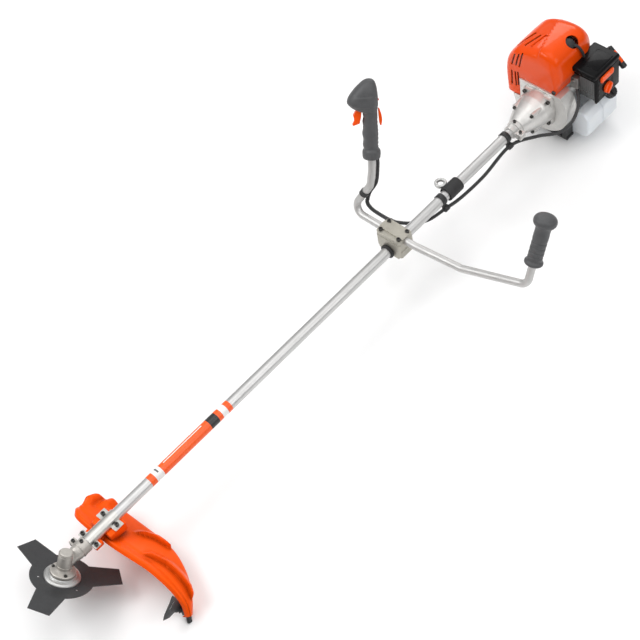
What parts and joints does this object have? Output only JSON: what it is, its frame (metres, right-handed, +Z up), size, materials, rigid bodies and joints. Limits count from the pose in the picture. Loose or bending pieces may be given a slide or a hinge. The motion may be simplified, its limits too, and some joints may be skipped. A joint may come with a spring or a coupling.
{
  "type": "brush cutter",
  "caption": "Shaft-mounted petrol brush cutter with toothed blade, guard, bicycle handlebar and rear two-stroke engine.",
  "frame": {"origin": "on the shaft tube's axis, at the middle of its bare length", "axes": "+Y along the tube towards the engine, +Z up, +X towards the user's left"},
  "size_m": [0.5725, 1.9051, 0.4443],
  "materials": {
    "cast_grey": "bead-blasted casting",
    "cast_olive": "satin paint on a casting",
    "cast_silver": "raw die casting",
    "steel": "ground",
    "blade_steel": "dark hardened",
    "zinc": "zinc plated",
    "tube_alu": "drawn tube, satin",
    "guard_orange": "semi-gloss",
    "cover_orange": "glossy",
    "black_plastic": "fine grain",
    "gloss_black": "glossy",
    "grey_plastic": "fine grain",
    "dark_grip": "textured",
    "rubber": "matt",
    "tank_white": "translucent blow-moulded",
    "bolt_dark": "black oxide",
    "red_plastic": "glossy",
    "iron": "machined",
    "bushing": "plain nylon",
    "bar_metal": "satin tube",
    "silencer": "heat-proof paint"
  },
  "bodies": {
    "frame": {"gear_case": "cast_grey", "ball_bearings": "steel", "shaft_tube": "tube_alu", "shaft_bushings": "bushing", "guard_bracket": "zinc", "guard": "guard_orange", "guard_extension": "black_plastic", "line_knife": "blade_steel", "handle_clamp_base": "cast_olive", "handle_clamp_lower": "cast_olive", "handle_clamp_cap": "cast_olive", "clamp_ring": "rubber", "harness_bracket": "cast_silver", "harness_sleeve": "rubber", "clutch_housing": "cast_silver", "fan_housing": "cast_silver", "crankcase": "cast_silver", "connecting_rod": "steel", "piston": "cast_silver", "cylinder": "cast_silver", "spark_plug": "steel", "plug_boot": "rubber", "muffler": "silencer", "engine_cover": "cover_orange", "carburettor": "cast_silver", "air_filter_cover": "gloss_black", "air_filter_base": "grey_plastic", "fuel_tank": "tank_white", "starter_housing": "black_plastic", "engine_stand": "black_plastic", "shaft_cable": "black_plastic", "socket_bolts": "bolt_dark"},
    "drive_line": {"drive_shaft": "steel", "pinion_gear": "steel", "clutch_drum": "steel"},
    "blade_spindle": {"output_shaft": "steel", "driven_gear": "steel", "blade_adapter": "steel", "cutting_blade": "blade_steel", "nut_cup": "steel", "blade_nut": "steel"},
    "crank_group": {"crankshaft": "steel", "flywheel": "cast_silver", "clutch_shoes": "iron"},
    "handlebar_group": {"handlebar": "bar_metal", "throttle_grip_left": "dark_grip", "throttle_grip_right": "dark_grip", "grip_screws": "bolt_dark", "left_grip": "dark_grip", "bar_cable": "black_plastic"},
    "trigger": {"throttle_trigger": "cover_orange"},
    "lockout": {"lockout_lever": "cover_orange"},
    "switch": {"stop_switch": "red_plastic"},
    "carb_lever": {"throttle_lever": "steel"},
    "choke": {"choke_lever": "cover_orange"},
    "knob": {"filter_knob": "cover_orange"},
    "primer": {"primer_bulb": "rubber"},
    "cap": {"fuel_cap": "black_plastic"},
    "pull_handle": {"starter_handle": "black_plastic"},
    "rope_pulley": {"starter_pulley": "black_plastic"}
  },
  "joints": [
    {"name": "drive_spin", "type": "hinge", "parent": "frame", "child": "drive_line", "pos_m": [0, 0.22, 0], "axis": [0, 1, 0], "continuous": true},
    {"name": "blade_spin", "type": "hinge", "parent": "frame", "child": "blade_spindle", "pos_m": [0, -0.78, 0], "axis": [0, 0.5, 0.866], "continuous": true},
    {"name": "engine_spin", "type": "hinge", "parent": "frame", "child": "crank_group", "pos_m": [0, 0.91, 0], "axis": [0, 1, 0], "continuous": true},
    {"name": "handlebar_tilt", "type": "hinge", "parent": "frame", "child": "handlebar_group", "pos_m": [0, 0.282, 0.034], "axis": [1, 0, 0], "range_deg": [-12, 12]},
    {"name": "throttle_pull", "type": "hinge", "parent": "handlebar_group", "child": "trigger", "pos_m": [-0.14765, 0.37042, 0.27892], "axis": [0.7044, -0.5599, 0.4363], "range_deg": [0, 18], "stiffness_Nm_per_rad": 0.3, "springref_deg": -5.73},
    {"name": "lockout_press", "type": "hinge", "parent": "handlebar_group", "child": "lockout", "pos_m": [-0.11808, 0.40192, 0.27162], "axis": [-0.7044, 0.5599, -0.4363], "range_deg": [0, 7], "stiffness_Nm_per_rad": 0.3, "springref_deg": -5.73},
    {"name": "stop_switch_slide", "type": "slide", "parent": "handlebar_group", "child": "switch", "axis": [-0.2357, 0.3953, 0.8878], "range_m": [0, 0.004]},
    {"name": "carb_throttle", "type": "hinge", "parent": "frame", "child": "carb_lever", "pos_m": [0.054, 0.886, 0.056], "axis": [0, 1, 0], "range_deg": [0, 72.5]},
    {"name": "choke_turn", "type": "hinge", "parent": "frame", "child": "choke", "pos_m": [0.1231, 0.942, 0.084], "axis": [-1, 0, 0], "range_deg": [0, 50]},
    {"name": "filter_knob_turn", "type": "hinge", "parent": "frame", "child": "knob", "pos_m": [0.1231, 0.929, 0.042], "axis": [1, 0, 0], "range_deg": [0, 360]},
    {"name": "primer_press", "type": "slide", "parent": "frame", "child": "primer", "axis": [0, 0, 1], "range_m": [0, 0.003], "stiffness_N_per_m": 400, "springref_m": -0.002},
    {"name": "fuel_cap_turn", "type": "hinge", "parent": "frame", "child": "cap", "pos_m": [0.095, 0.966, -0.03], "axis": [0.6, 0, 0.8], "range_deg": [0, 360]},
    {"name": "starter_pull", "type": "slide", "parent": "frame", "child": "pull_handle", "axis": [0.65, 0, 0.76], "range_m": [0, 0.6], "stiffness_N_per_m": 5, "springref_m": -0.5},
    {"name": "starter_pulley_turn", "type": "hinge", "parent": "frame", "child": "rope_pulley", "pos_m": [0, 0.985, 0], "axis": [0, 1, 0], "range_deg": [0, 1146]}
  ],
  "couplings": [
    {"joint": "blade_spin", "follows": "drive_spin", "ratio": -0.75},
    {"joint": "carb_throttle", "follows": "throttle_pull", "ratio": 4},
    {"joint": "starter_pulley_turn", "follows": "starter_pull", "rad_per_m": 33.3}
  ]
}
